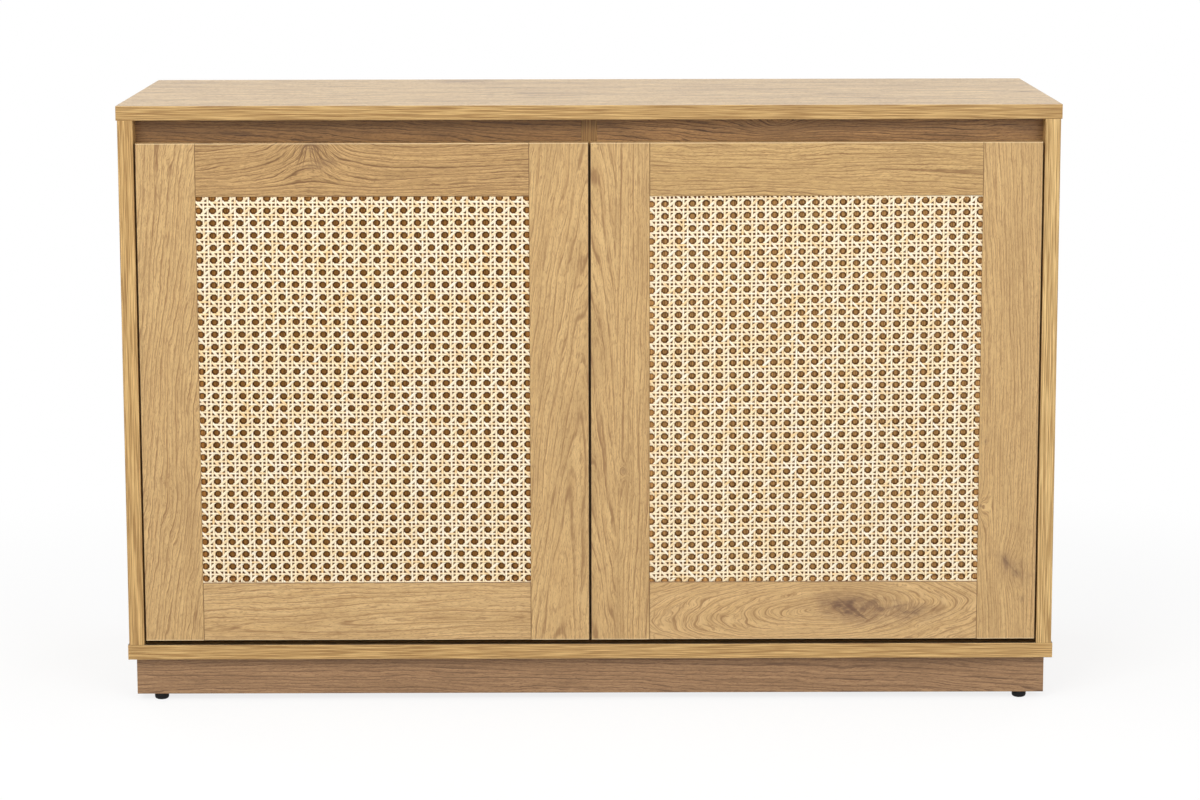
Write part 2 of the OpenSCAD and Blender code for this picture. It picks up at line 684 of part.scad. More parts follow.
module cane_solid() {
    translate([door_x + stile_w + panel_play, cane_y, open_z + panel_play]) cube([open_w - 2 * panel_play, cane_t, open_h - 2 * panel_play]);
}
module spacer_solid() {
    translate([door_x + stile_w + panel_play, spacer_y, open_z + panel_play]) difference() {
        cube([open_w - 2 * panel_play, spacer_t, open_h - 2 * panel_play]);
        translate([spacer_w, -1, spacer_w]) cube([open_w - 2 * panel_play - 2 * spacer_w, spacer_t + 2, open_h - 2 * panel_play - 2 * spacer_w]);
    }
}
module backing_solid() {
    g = groove_depth - 0.5;
    translate([door_x + stile_w - g, backing_y, open_z - g]) cube([open_w + 2 * g, backing_t, open_h + 2 * g]);
}
// Cup with its floor, flange and wings, and two bosses that hold the pin
module cups_solid() {
    at_cups() difference() {
        union() {
            difference() {
                union() {
                    translate([0, -cup_depth, 0]) bar_y(cup_d, cup_depth);
                    bar_y(cup_d + 6, flange_t);
                    translate([3 - wing_w / 2, 0, -wing_l / 2]) cube([wing_w, flange_t, wing_l]);
                }
                translate([0, -cup_depth + 0.6, 0]) bar_y(2 * cup_in_r, cup_depth + 2);
            }
            intersection() {
                translate([0, -cup_depth + 0.3, 0]) bar_y(2 * cup_in_r + cup_wall, cup_depth - 2);
                for (s = [-1, 1]) translate([pivot_x - cup_x - 2.6, -cup_depth, s > 0 ? boss_z : -boss_z - 6])
                    cube([5.6, pivot_y - door_back_y + cup_depth + 2.6, 6]);
            }
        }
        translate([pivot_x - cup_x, pivot_y - door_back_y, -pin_l / 2 - 0.2]) cylinder(d = pin_d + 2 * 0.02, h = pin_l + 0.4);
        for (dz = [-cup_screw_z, cup_screw_z]) translate([3, -1, dz]) bar_y(screw_d + 2 * fit_play, 4);
    }
}
module pins_solid() { for (z = hinge_zs) translate([pivot_x, pivot_y, z - pin_l / 2]) cylinder(d = pin_d, h = pin_l); }
module cup_screws_solid() {
    at_cup_screws() {
        translate([0, -11, 0]) bar_y(screw_d, 11 + flange_t + eps);
        translate([0, flange_t, 0]) bar_y(screw_head_d, 1.4);
    }
}
catch_mid_x = -half_div - catch_w / 2;
module catch_plate_solid() {
    difference() {
        translate([catch_mid_x - catch_w / 2, door_back_y, catch_z - catch_h * 0.4]) cube([catch_w, catch_plate_t, catch_h * 0.8]);
        plate_screw_bar(fit_play);
        translate([catch_mid_x, door_back_y + catch_plate_t - 1, catch_z]) bar_y(screw_head_d + 0.2, 2);
    }
}
module plate_screw_bar(grow) { translate([catch_mid_x, door_back_y - 9.2, catch_z]) bar_y(screw_d + 2 * grow, 9.2 + catch_plate_t + 1); }
module plate_screw_solid() {
    translate([catch_mid_x, door_back_y - 9, catch_z]) bar_y(screw_d, 9 + catch_plate_t - 0.9);
    translate([catch_mid_x, door_back_y + catch_plate_t - 1, catch_z]) bar_y(screw_head_d, 0.9);
}

module left_door_hinge_stile() { color(oak) hinge_stile_solid(); }
module left_door_lock_stile() { color(oak) lock_stile_solid(); }
module left_door_top_rail() { color(oak) top_rail_solid(); }
module left_door_bottom_rail() { color(oak) bottom_rail_solid(); }
module left_cane_webbing() { color(cane) cane_solid(); }
module left_cane_spacer() { color(oak_shade) spacer_solid(); }
module left_door_backing_panel() { color(oak) backing_solid(); }
module left_door_dowels() { color(beech) door_dowel_bars(0); }
module left_hinge_cups() { color(steel) cups_solid(); }
module left_hinge_pins() { color(zinc) pins_solid(); }
module left_cup_screws() { color(zinc) cup_screws_solid(); }
module left_catch_plate() { color(steel) catch_plate_solid(); }
module left_catch_plate_screw() { color(zinc) plate_screw_solid(); }

module right_door_hinge_stile() { color(oak) mirror([1, 0, 0]) hinge_stile_solid(); }
module right_door_lock_stile() { color(oak) mirror([1, 0, 0]) lock_stile_solid(); }
module right_door_top_rail() { color(oak) mirror([1, 0, 0]) top_rail_solid(); }
module right_door_bottom_rail() { color(oak) mirror([1, 0, 0]) bottom_rail_solid(); }
module right_cane_webbing() { color(cane) mirror([1, 0, 0]) cane_solid(); }
module right_cane_spacer() { color(oak_shade) mirror([1, 0, 0]) spacer_solid(); }
module right_door_backing_panel() { color(oak) mirror([1, 0, 0]) backing_solid(); }
module right_door_dowels() { color(beech) mirror([1, 0, 0]) door_dowel_bars(0); }
module right_hinge_cups() { color(steel) mirror([1, 0, 0]) cups_solid(); }
module right_hinge_pins() { color(zinc) mirror([1, 0, 0]) pins_solid(); }
module right_cup_screws() { color(zinc) mirror([1, 0, 0]) cup_screws_solid(); }
module right_catch_plate() { color(steel) mirror([1, 0, 0]) catch_plate_solid(); }
module right_catch_plate_screw() { color(zinc) mirror([1, 0, 0]) plate_screw_solid(); }

top_panel();
left_side_panel();
right_side_panel();
bottom_panel();
centre_divider();
left_top_rail();
right_top_rail();
left_back_panel();
right_back_panel();
back_joining_strip();
plinth_front();
plinth_back();
plinth_left_end();
plinth_right_end();
plinth_centre_brace();
plinth_corner_blocks();
plinth_block_screws();
glide_feet();
left_shelf();
right_shelf();
shelf_pins();
cam_locks();
cam_bolts();
wooden_dowels();
back_panel_nails();
hinge_mounting_plates();
hinge_arms();
hinge_plate_screws();
hinge_arm_screws();
magnetic_catches();
catch_screws();
door_bumpers();
left_door_hinge_stile();
left_door_lock_stile();
left_door_top_rail();
left_door_bottom_rail();
left_cane_webbing();
left_cane_spacer();
left_door_backing_panel();
left_door_dowels();
left_hinge_cups();
left_hinge_pins();
left_cup_screws();
left_catch_plate();
left_catch_plate_screw();
right_door_hinge_stile();
right_door_lock_stile();
right_door_top_rail();
right_door_bottom_rail();
right_cane_webbing();
right_cane_spacer();
right_door_backing_panel();
right_door_dowels();
right_hinge_cups();
right_hinge_pins();
right_cup_screws();
right_catch_plate();
right_catch_plate_screw();
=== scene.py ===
"""Looks for an oak-effect sideboard with two cane doors, seen from the front a little over its top."""

import math

import bmesh
import bpy
from mathutils import Matrix, Vector, noise


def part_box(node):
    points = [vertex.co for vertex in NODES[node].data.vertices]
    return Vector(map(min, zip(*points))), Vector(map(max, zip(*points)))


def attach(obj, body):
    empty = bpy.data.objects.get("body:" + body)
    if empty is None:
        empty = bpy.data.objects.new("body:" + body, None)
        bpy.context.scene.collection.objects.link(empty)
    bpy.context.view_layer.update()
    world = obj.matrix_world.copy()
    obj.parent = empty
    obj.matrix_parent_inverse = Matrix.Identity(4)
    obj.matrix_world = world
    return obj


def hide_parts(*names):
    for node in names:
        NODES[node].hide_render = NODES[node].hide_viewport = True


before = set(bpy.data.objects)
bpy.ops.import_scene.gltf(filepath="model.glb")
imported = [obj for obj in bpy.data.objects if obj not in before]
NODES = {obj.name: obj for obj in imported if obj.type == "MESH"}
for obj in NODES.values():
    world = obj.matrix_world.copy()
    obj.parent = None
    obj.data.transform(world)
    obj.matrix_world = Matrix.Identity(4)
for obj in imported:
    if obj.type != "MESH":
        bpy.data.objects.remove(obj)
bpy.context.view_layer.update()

MM = 0.001
WAVE_SEED = 5  # without a seed the weave's waves would differ from run to run
noise.seed_set(WAVE_SEED)

# Sockets of nodes by their number
OBJECT_PLACE = 3
MIX_MASK, MIX_UNDER, MIX_OVER, MIXED = 0, 6, 7, 2


class Wire:
    """A value on its way through a material, with the usual arithmetic."""

    def __init__(self, tree, socket=None):
        self.tree, self.socket = tree, socket

    def node(self, kind, settings=(), values=(), out=0):
        made = self.tree.nodes.new(kind)
        for name, value in dict(settings).items():
            setattr(made, name, value)
        for name, value in dict(values).items():
            if isinstance(value, Wire):
                self.tree.links.new(value.socket, made.inputs[name])
            else:
                made.inputs[name].default_value = value
        return Wire(self.tree, made.outputs[out])

    def __add__(self, other):
        return maths("ADD", self, other)

    __radd__ = __add__

    def __sub__(self, other):
        return maths("SUBTRACT", self, other)

    def __rsub__(self, other):
        return maths("SUBTRACT", other, self)

    def __mul__(self, other):
        return maths("MULTIPLY", self, other)

    def __truediv__(self, other):
        return maths("DIVIDE", self, other)

    def __rtruediv__(self, other):
        return maths("DIVIDE", other, self)

    def __pow__(self, power):
        return maths("POWER", self, power)


def maths(how, first, second=0.0):
    """An arithmetic node on two values, one of them at least a wire."""
    start = first if isinstance(first, Wire) else second
    return start.node("ShaderNodeMath", {"operation": how}, {0: first, 1: second})


def paint(red, green, blue):
    """A colour given from 0 to 255, as light."""
    return tuple(
        c / 12.92 if c <= 0.04045 else ((c + 0.055) / 1.055) ** 2.4
        for c in (red / 255, green / 255, blue / 255)
    ) + (1.0,)


def new_finish(name):
    """An empty material and the start of its wires."""
    material = bpy.data.materials.new(name)
    material.use_nodes = True
    material.node_tree.nodes.clear()
    return material, Wire(material.node_tree)


def lay_on(start, colour, roughness, relief=None, **fixed):
    """Ends a finish with its shader and output. A relief is a height, its depth in metres and its strength."""
    values = {"Base Color": colour, "Roughness": roughness}
    values.update({name.replace("_", " "): value for name, value in fixed.items()})
    if relief is not None:
        height, depth, strength = relief
        bump = {"Strength": strength, "Distance": depth, "Height": height}
        values["Normal"] = start.node("ShaderNodeBump", (), bump)
    end(start, "ShaderNodeOutputMaterial", start.node("ShaderNodeBsdfPrincipled", (), values))


def end(start, kind, surface):
    """Joins what a surface or the surroundings look like to their output."""
    output = start.tree.nodes.new(kind)
    start.tree.links.new(surface.socket, output.inputs["Surface"])


def parts(vector):
    """The X, Y and Z of a vector."""
    split = vector.node("ShaderNodeSeparateXYZ", (), {0: vector}).socket.node
    return [Wire(vector.tree, socket) for socket in split.outputs]


def object_place(start):
    """The X, Y and Z of a place on the object."""
    return parts(start.node("ShaderNodeTexCoord", out=OBJECT_PLACE))


CLOUD_ROUGHNESS, STREAK_ROUGHNESS = 0.55, 0.6
STREAK_SPACING = 22 * MM  # how far across the board the streaks keep together


def soft_noise(x, y, z, detail, roughness):
    """Noise from 0 to 1 whose patches are about 1 long in each direction."""
    place = x.node("ShaderNodeCombineXYZ", (), {0: x, 1: y, 2: z})
    values = {"Vector": place, "Scale": 1.0, "Detail": detail, "Roughness": roughness}
    return x.node("ShaderNodeTexNoise", (), values)


def cloud(u, v, w, lengths, detail=2.0, seed=0.0):
    """Soft noise whose patches have the given lengths along the three directions."""
    return soft_noise(u / lengths[0] + seed, v / lengths[1] + seed * 3, w / lengths[2], detail, CLOUD_ROUGHNESS)


def rise(value, low, high):
    """Turns smoothly from 0 at low to 1 at high."""
    return value.node("ShaderNodeMapRange", {"interpolation_type": "SMOOTHSTEP"},
                      {"Value": value, "From Min": low, "From Max": high})


def fall(value, low, high):
    """Turns smoothly from 1 at low to 0 at high."""
    return 1.0 - rise(value, low, high)


def between(value, low, full, fading, gone):
    """Rises from 0 at low to 1 at full, and falls from 1 at fading to 0 at gone."""
    return rise(value, low, full) * fall(value, fading, gone)


def mix(mask, under, over):
    """One colour over another where the mask is 1."""
    values = {MIX_MASK: mask, MIX_UNDER: under, MIX_OVER: over}
    return mask.node("ShaderNodeMix", {"data_type": "RGBA"}, values, out=MIXED)


def stretched(u, v, ring, long, narrow, detail, seed):
    """Streaks that keep to the growth rings: long metres along the grain, narrow rings across it."""
    side = v / STREAK_SPACING + seed * 0.61
    return soft_noise(u / long + seed * 1.7, ring / narrow, side, detail, STREAK_ROUGHNESS)


# Waves of the grain: length, breadth, seed and share of the wander
GRAIN_WAVES = ((260 * MM, 70 * MM, 0, 4.0), (55 * MM, 20 * MM, 5, 0.9), (12 * MM, 7 * MM, 15, 0.22))


def growth(u, v, w, heart, pith, lean, rings, wander, seed, slant=0.0):
    """Counts growth rings out from a heart that lies behind the board and slants away from it,
    and tells how many rings' widths a place lies beside the heart."""
    across = v - u * slant - heart[1]
    for long, wide, more, share in GRAIN_WAVES:
        across = across + (cloud(u, v, w, (long, wide, wide), seed=seed + more) - 0.5) * (wander * share)
    inward = (u - heart[0]) * lean + w + pith
    return (across * across + inward * inward) ** 0.5 * rings, across * rings


def near(u, v, at_u, at_v, long, wide, lean=0.0):
    """Squared distance from a place on the board, 1 on the edge of an oval of the given half sizes."""
    along, over = math.cos(lean), math.sin(lean)
    a = ((u - at_u) * along + (v - at_v) * over) / long
    b = ((v - at_v) * along - (u - at_u) * over) / wide
    return a * a + b * b


# Fine marks along the grain: length, breadth in rings, detail, seed, and the values of the noise at
# which they begin and are full. The first two are the unbroken stretches of the main lines and of the
# thin lines, then come hairlines, pores and pale glints.
GRAIN_MARKS = ((26 * MM, 0.50, 4.0, 1, 0.38, 0.54),
               (22 * MM, 0.45, 3.0, 12, 0.42, 0.56),
               (16 * MM, 0.17, 2.0, 3, 0.52, 0.62),
               (5 * MM, 0.14, 1.0, 4, 0.57, 0.65),
               (10 * MM, 0.18, 2.0, 16, 0.58, 0.70))
PATCH_SIZE = (110 * MM, 24 * MM, 24 * MM)
THIN_LINES = 2.6  # for each growth ring


def figure(u, v, w, ring, flow, seed, light, middle, dark, lines, patches):
    """The lines, streaks and pores of the wood: its colour, the masks of pores and hairlines, and its relief."""
    turn = 1.0 - maths("FRACT", ring)
    part = maths("FRACT", ring * THIN_LINES + stretched(u, v, ring, 200 * MM, 1.1, 1.0, seed + 6) * 3.0)
    band = between(turn, 0.74, 0.90, 0.92, 1.0)
    summer = between(turn, 0.15, 0.90, 0.90, 1.0)
    thin = between(part, 0.60, 0.82, 0.84, 1.0)
    broken, spell, hair, pores, glint = (
        rise(stretched(u, v, flow, long, narrow, detail, seed + more), low, high)
        for long, narrow, detail, more, low, high in GRAIN_MARKS)
    streak = rise(stretched(u, v, ring, 100 * MM, 0.42, 4.0, seed + 2), 0.36, 0.66)
    patch = rise(cloud(u, v, w, PATCH_SIZE, 4.0, seed + 9), 0.46, 0.70)
    colour = mix(streak * 0.8, paint(*light), paint(*middle))
    colour = mix(patch * patches, colour, paint(*(round(c * 0.92 - 2) for c in middle)))
    colour = mix(glint * 0.35, colour, paint(*(min(250, round(c * 1.05 + 5)) for c in light)))
    for mask in (summer * 0.20 * lines, band * (broken * 0.86 + 0.12) * lines, thin * spell * 0.70 * lines,
                 hair * 0.38, pores * 0.50):
        colour = mix(mask, colour, paint(*dark))
    return colour, pores, hair, band * broken * -0.35 - pores * 0.65 - hair * 0.2


KNOT_HALO, KNOT_CORE, CRACK = paint(126, 93, 66), paint(104, 74, 54), paint(112, 80, 56)
KNOT_RAGS, CRACK_WAVES, CRACK_SWAY = (14 * MM, 7 * MM, 7 * MM), (8 * MM,) * 3, 4 * MM
EDGE_TONES = ((210, 173, 113), (144, 107, 58), (180, 141, 84))
EDGE_STRIPES, EDGE_MOTTLE = (55 * MM, 0.7 * MM, 0.7 * MM), (14 * MM, 3 * MM, 3 * MM)
# Painted shadow of the cane web on its backing: dark from HOLE_CLEAR to HOLE_DARK away from a hole's middle
WEB_PAINTED_SHADOW, HOLE_CLEAR, HOLE_DARK = paint(50, 20, 3), 1.8 * MM, 4.0 * MM
FRONT_FACE = -199.2 * MM


def draw_fan(colour, u, v, seed, dark, at_u, at_v, reach, rays, strength):
    """Fine rays round a place, fading out at their reach."""
    side, down = u - at_u, v - at_v
    turned = maths("ARCTAN2", side, down)
    away = near(u, v, at_u, at_v, reach, reach)
    ray = rise(stretched(turned, v * 0.0, away, 1.0 / rays, 1.6, 2.0, seed + 11), 0.50, 0.62)
    return mix(ray * fall(away, 0.05, 1.0) * strength, colour, paint(*dark))


def draw_knot(colour, u, v, w, seed, at_u, at_v, long, wide, lean, strength):
    """A dark oval with a ragged rim and a paler halo."""
    ragged = (near(u, v, at_u, at_v, long, wide, lean)
              + (cloud(u, v, w, KNOT_RAGS, 4.0, seed + 7) - 0.5) * 1.9)
    colour = mix(fall(ragged, -0.2, 1.35) * strength * 0.55, colour, KNOT_HALO)
    return mix(fall(ragged, -0.35, 0.30) * strength, colour, KNOT_CORE)


def draw_crack(colour, u, v, w, seed, from_u, from_v, to_u, to_v, width, strength):
    """A wavy dark line from one place to another."""
    length, lean = math.hypot(to_u - from_u, to_v - from_v), math.atan2(to_v - from_v, to_u - from_u)
    wavy = v + (cloud(u, v, w, CRACK_WAVES, seed=seed + 8) - 0.5) * CRACK_SWAY
    away = near(u, wavy, (from_u + to_u) / 2, (from_v + to_v) / 2, length / 2, width / 2, lean)
    return mix(fall(away, 0.3, 1.4) * strength, colour, CRACK)


def draw_edging(colour, axes, grain, seed, light_gains, faces):
    """The striped band on a board's narrow faces, lightened or darkened by its gains as painted light and shade.
    A face is an axis and the place where it begins.
    """
    pale, deep, dull = (paint(*(c * gain for c, gain in zip(tone, light_gains))) for tone in EDGE_TONES)
    for letter, place in faces:
        run = [axes[way] for way in ("YZX" if letter == grain[0] else grain)]
        stripe = rise(cloud(*run, EDGE_STRIPES, 1.0, seed + 13), 0.36, 0.60)
        mottle = rise(cloud(*run, EDGE_MOTTLE, seed=seed + 14), 0.40, 0.62)
        beyond = maths("GREATER_THAN" if place > 0 else "LESS_THAN", axes[letter], place)
        colour = mix(beyond, colour, mix(mottle * 0.30, mix(stripe * 0.95, pale, deep), dull))
    return colour


OAK = dict(light=(217, 181, 124), middle=(202, 164, 109), dark=(150, 112, 70))


def oak(name, grain="XZY", heart=(0.0, 0.3), pith=0.05, lean=0.04, rings=190.0, wander=5 * MM, seed=0.0,
        light=OAK["light"], middle=OAK["middle"], dark=OAK["dark"], lines=0.95, patches=0.42, slant=0.0,
        curled=False, pushes=(), seam=None, fans=(), knots=(), cracks=(), edging=None, painted_shadow_strip=None,
        borders=(), web=None, sheen=0.42, gloss=0.5):
    """Oak print on a board. The letters of grain say which way runs along, across and into the board.
    A push is a place, half sizes of an oval round it, and by how many rings the grain bends there. A fan
    is a place, a reach, a number of rays and a strength. A knot is a place, half sizes, a lean and a
    strength, and a crack is two places, a width and a strength. A seam is where a second plank begins,
    and how that has grown. Fine streaks run along the board, or round with the rings where the grain is
    curled. A painted shadow strip is dark above one height and in front of one depth: shade painted where
    the doors' bottom gap lets little light in. Borders are thin lines along the board's edges, some of them
    painted highlight and shade, and a board behind a web gets painted shadow on its front except behind the
    holes."""
    material, start = new_finish(name)
    axes = dict(zip("XYZ", object_place(start)))
    u, v, w = (axes[letter] for letter in grain)
    ring, flow = growth(u, v, w, heart, pith, lean, rings, wander, seed, slant)
    if seam is not None:
        place, plank = seam
        beyond = maths("GREATER_THAN", v, place)
        second, second_flow = growth(u, v, w, *plank)
        ring, flow = ring + (second + 40.0 - ring) * beyond, flow + (second_flow - flow) * beyond
    for at_u, at_v, long, wide, push in pushes:
        shift = push / (1.0 + near(u, v, at_u, at_v, long, wide) * 1.5) ** 2.0
        ring, flow = ring + shift, flow + shift
    ring = ring + (stretched(u, v, ring, 0.5, 2.3, 1.0, seed) - 0.5) * 2.2
    if curled:
        flow = ring
    colour, pores, hair, relief = figure(u, v, w, ring, flow, seed, light, middle, dark, lines, patches)
    for fan in fans:
        colour = draw_fan(colour, u, v, seed, dark, *fan)
    for knot in knots:
        colour = draw_knot(colour, u, v, w, seed, *knot)
    for crack in cracks:
        colour = draw_crack(colour, u, v, w, seed, *crack)
    if edging is not None:
        colour = draw_edging(colour, axes, grain, seed, *edging)
    # Painted shadow: the top of a board is darkened in front of one depth, where the doors' bottom gap lets
    # little light in
    if painted_shadow_strip is not None:
        height, depth, shade = painted_shadow_strip
        above = maths("GREATER_THAN", axes["Z"], height)
        before = fall(axes["Y"], depth - 1 * MM, depth + 2 * MM)
        colour = mix(above * before * (hair * 0.2 + 0.8), colour, paint(*shade))
    front = maths("LESS_THAN", axes["Y"], FRONT_FACE)
    # Borders on the front face: the pale ones are painted highlight, the deep ones painted shade beside the gaps
    for letter, place, width, shade, strength in borders:
        away = maths("ABSOLUTE", axes[letter] - place)
        colour = mix(fall(away, width * 0.45, width) * front * strength, colour, paint(*shade))
    # Painted shadow: the front of a board behind a web is darkened except behind the middles of its holes
    if web is not None:
        facing = maths("LESS_THAN", axes["Y"], web.backing_y + 0.5 * MM)
        shadow = rise(web.far_from_hole(axes["X"], axes["Z"]), HOLE_CLEAR, HOLE_DARK) * 0.80
        colour = mix(shadow * facing, colour, WEB_PAINTED_SHADOW)
    lay_on(start, colour, pores * 0.10 + sheen, (relief, 0.12 * MM, 0.35), Specular_IOR_Level=gloss)
    return material


# Thin lines on a board's edges: shade, width and strength of the pale ones, a painted highlight,
# the dark ones, and the deep ones, painted shade
RIMS = (((236, 210, 166), 1.1 * MM, 0.75), ((112, 82, 52), 0.9 * MM, 0.8), ((58, 38, 20), 0.9 * MM, 0.9))


def rim(node, pale="", dark="", deep=""):
    """Borders of a board: pale, a painted highlight where its edging catches the light, dark where it meets
    another board, and deep, painted shade where it rounds away into a gap. A side is named like x- or z+."""
    low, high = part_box(node)
    found = []
    for sides, (shade, width, strength) in zip((pale, dark, deep), RIMS):
        for side in sides.split():
            place = (high if side[1] == "+" else low)["xyz".index(side[0])]
            found.append((side[0].upper(), place, width, shade, strength))
    return tuple(found)


def dress(material, *names):
    """Gives CAD pieces their finish."""
    for name in names:
        for slot in NODES[name].material_slots:
            slot.material = material


# Wood of the carcass. Places are in metres: along the grain first, then across it.
YELLOW = dict(light=(213, 177, 116), middle=(197, 158, 98), dark=(140, 102, 58), lines=0.8)
# The plinth, set back under the bottom board, is browner and darker: partly its own tone, partly painted shade
BROWN_PAINTED_SHADE = dict(light=(176, 138, 99), middle=(154, 118, 82), dark=(104, 74, 49), lines=0.9)
# Painted shade: the top rails sit back in the recess under the top board, so their oak is printed darker
RECESS_PAINTED_SHADE = dict(middle=(144, 105, 62), dark=(80, 53, 30), lines=1.0)

FRONT_BACK = (("Y", -199.5 * MM), ("Y", 199.5 * MM))
ENDS = (("X", -551 * MM), ("X", 551 * MM))
DIVIDER_FRONT = (("Y", -177.4 * MM),)

# Edging gains: painted light brightens the sides' and bottom's front edges, painted shade darkens the divider's
# recessed front
dress(oak("oak_top", "XYZ", heart=(0.25, -0.02), pith=-0.690, lean=0.035, rings=95, wander=8 * MM,
          light=(220, 190, 140), middle=(198, 165, 116), dark=(124, 94, 66), lines=1.0, patches=0.9, sheen=0.38,
          edging=((1.01, 1.01, 1.01), FRONT_BACK + ENDS),
          knots=((-0.165, 0.16, 0.05, 0.022, 0.0, 0.8), (0.12, 0.02, 0.10, 0.006, 0.0, 0.7),
                 (0.02, -0.04, 0.07, 0.008, 0.0, 0.6))),
      "top_panel")
dress(oak("oak_left_side", "ZYX", heart=(0.7, 0.05), pith=0.572, lean=0.03, rings=170, seed=3.1, wander=8 * MM,
          edging=((1.06, 1.06, 1.06), FRONT_BACK), **YELLOW),
      "left_side_panel")
dress(oak("oak_right_side", "ZYX", heart=(0.2, -0.04), pith=-0.575, lean=0.03, rings=170, seed=4.7, wander=8 * MM,
          edging=((1.11, 1.14, 1.19), FRONT_BACK), **YELLOW),
      "right_side_panel")
# The bottom board's top gets a painted shadow strip under the doors
dress(oak("oak_bottom", "XYZ", heart=(0.6, 0.03), pith=-0.100, rings=160, seed=6.3, wander=8 * MM,
          edging=((1.04, 1.04, 1.04), FRONT_BACK + ENDS), painted_shadow_strip=(70.2 * MM, -190 * MM, (36, 22, 14)), **YELLOW),
      "bottom_panel")
dress(oak("oak_plinth", "XZY", heart=(0.05, -0.02), pith=0.21, lean=0.06, rings=230, seed=7.9, **BROWN_PAINTED_SHADE),
      "plinth_front", "plinth_back")
dress(oak("oak_plinth_ends", "YZX", heart=(0.0, -0.05), pith=0.5, seed=8.3, **BROWN_PAINTED_SHADE),
      "plinth_left_end", "plinth_right_end", "plinth_centre_brace")
dress(oak("oak_left_recess", "XZY", heart=(-0.28, 0.62), pith=0.24, lean=0.05, rings=300, seed=9.2,
          wander=7 * MM, light=(168, 126, 76), **RECESS_PAINTED_SHADE),
      "left_top_rail")
dress(oak("oak_right_recess", "XZY", heart=(0.22, 0.60), pith=0.24, lean=0.05, rings=300, seed=9.9,
          wander=7 * MM, light=(192, 147, 93), pushes=((0.22, 0.690, 0.06, 0.02, 5.0),), **RECESS_PAINTED_SHADE),
      "right_top_rail")
dress(oak("oak_divider", "ZYX", heart=(0.3, 0.02), pith=0.035, rings=170, seed=10.4, wander=8 * MM,
          edging=((0.80, 0.75, 0.68), DIVIDER_FRONT), **YELLOW),
      "centre_divider")
dress(oak("oak_shelves", "XYZ", heart=(0.6, 0.02), pith=-0.410, rings=160, seed=11.6, wander=8 * MM, **YELLOW),
      "left_shelf", "right_shelf")

# Wood of the doors
dress(oak("oak_left_hinge_stile", "ZXY", heart=(0.45, -0.72), pith=0.26, rings=185, seed=1.3, wander=8 * MM,
          slant=0.12, lines=1.0, borders=rim("left_door_hinge_stile", "z+ z-", "", "x-")),
      "left_door_hinge_stile")
dress(oak("oak_left_lock_stile", "ZXY", heart=(-0.05, -0.046), pith=0.212, lean=0.055, rings=190, seed=2.2,
          wander=6 * MM, slant=0.10, lines=0.8, patches=0.5,
          borders=rim("left_door_lock_stile", "z+ z-", "", "x+")),
      "left_door_lock_stile")
dress(oak("oak_left_top_rail", "XZY", heart=(-0.30, 0.50), pith=0.21, rings=230, seed=12.5, wander=5 * MM,
          slant=0.03, light=(206, 167, 111), middle=(186, 148, 94), dark=(120, 84, 47), lines=1.0, patches=0.7,
          pushes=((-0.327, 0.684, 0.060, 0.062, -11.0),), fans=((-0.327, 0.677, 0.045, 12.0, 0.9),),
          knots=((-0.324, 0.668, 0.018, 0.011, 0.0, 0.45), (-0.315, 0.645, 0.03, 0.012, 0.3, 0.3)),
          borders=rim("left_door_top_rail", "z+", "x- x+")),
      "left_door_top_rail")
dress(oak("oak_left_bottom_rail", "XZY", heart=(-0.30, 0.106), pith=0.206, lean=-0.055, rings=180, seed=13.4,
          wander=6 * MM, slant=0.03, lines=0.85, light=(219, 184, 130),
          borders=rim("left_door_bottom_rail", "z-", "x- x+ z+")),
      "left_door_bottom_rail")
dress(oak("oak_right_lock_stile", "ZXY", heart=(0.05, -0.012), pith=0.25, lean=0.07, rings=200, seed=14.3,
          wander=8 * MM, lines=0.9, patches=0.7,
          seam=(0.0305, ((0.9, 0.19), 0.20, 0.03, 170.0, 4 * MM, 19.1, 0.02)),
          pushes=((0.280, 0.040, 0.012, 0.007, 2.0),), knots=((0.281, 0.040, 0.006, 0.004, 0.0, 0.5),),
          borders=rim("right_door_lock_stile", "z+ z-", "", "x-")),
      "right_door_lock_stile")
dress(oak("oak_right_top_rail", "XZY", heart=(0.1, 0.55), pith=0.22, rings=230, seed=15.2, wander=6 * MM,
          light=(212, 175, 117), middle=(197, 160, 103), dark=(136, 99, 58),
          borders=rim("right_door_top_rail", "z+", "x- x+")),
      "right_door_top_rail")
dress(oak("oak_right_bottom_rail", "XZY", heart=(0.305, 0.0947), pith=0.21, lean=0.24, rings=250, seed=16.1,
          wander=7 * MM, slant=0.06, curled=True, light=(219, 183, 129), lines=0.75,
          pushes=((0.307, 0.113, 0.040, 0.024, -4.0),),
          knots=((0.330, 0.114, 0.085, 0.026, -0.06, 0.55), (0.309, 0.113, 0.040, 0.019, -0.20, 0.95),
                 (0.372, 0.111, 0.060, 0.012, -0.05, 0.45)),
          cracks=((0.293, 0.127, 0.332, 0.098, 0.004, 0.7), (0.286, 0.119, 0.304, 0.104, 0.003, 0.5)),
          borders=rim("right_door_bottom_rail", "z-", "x- x+ z+")),
      "right_door_bottom_rail")
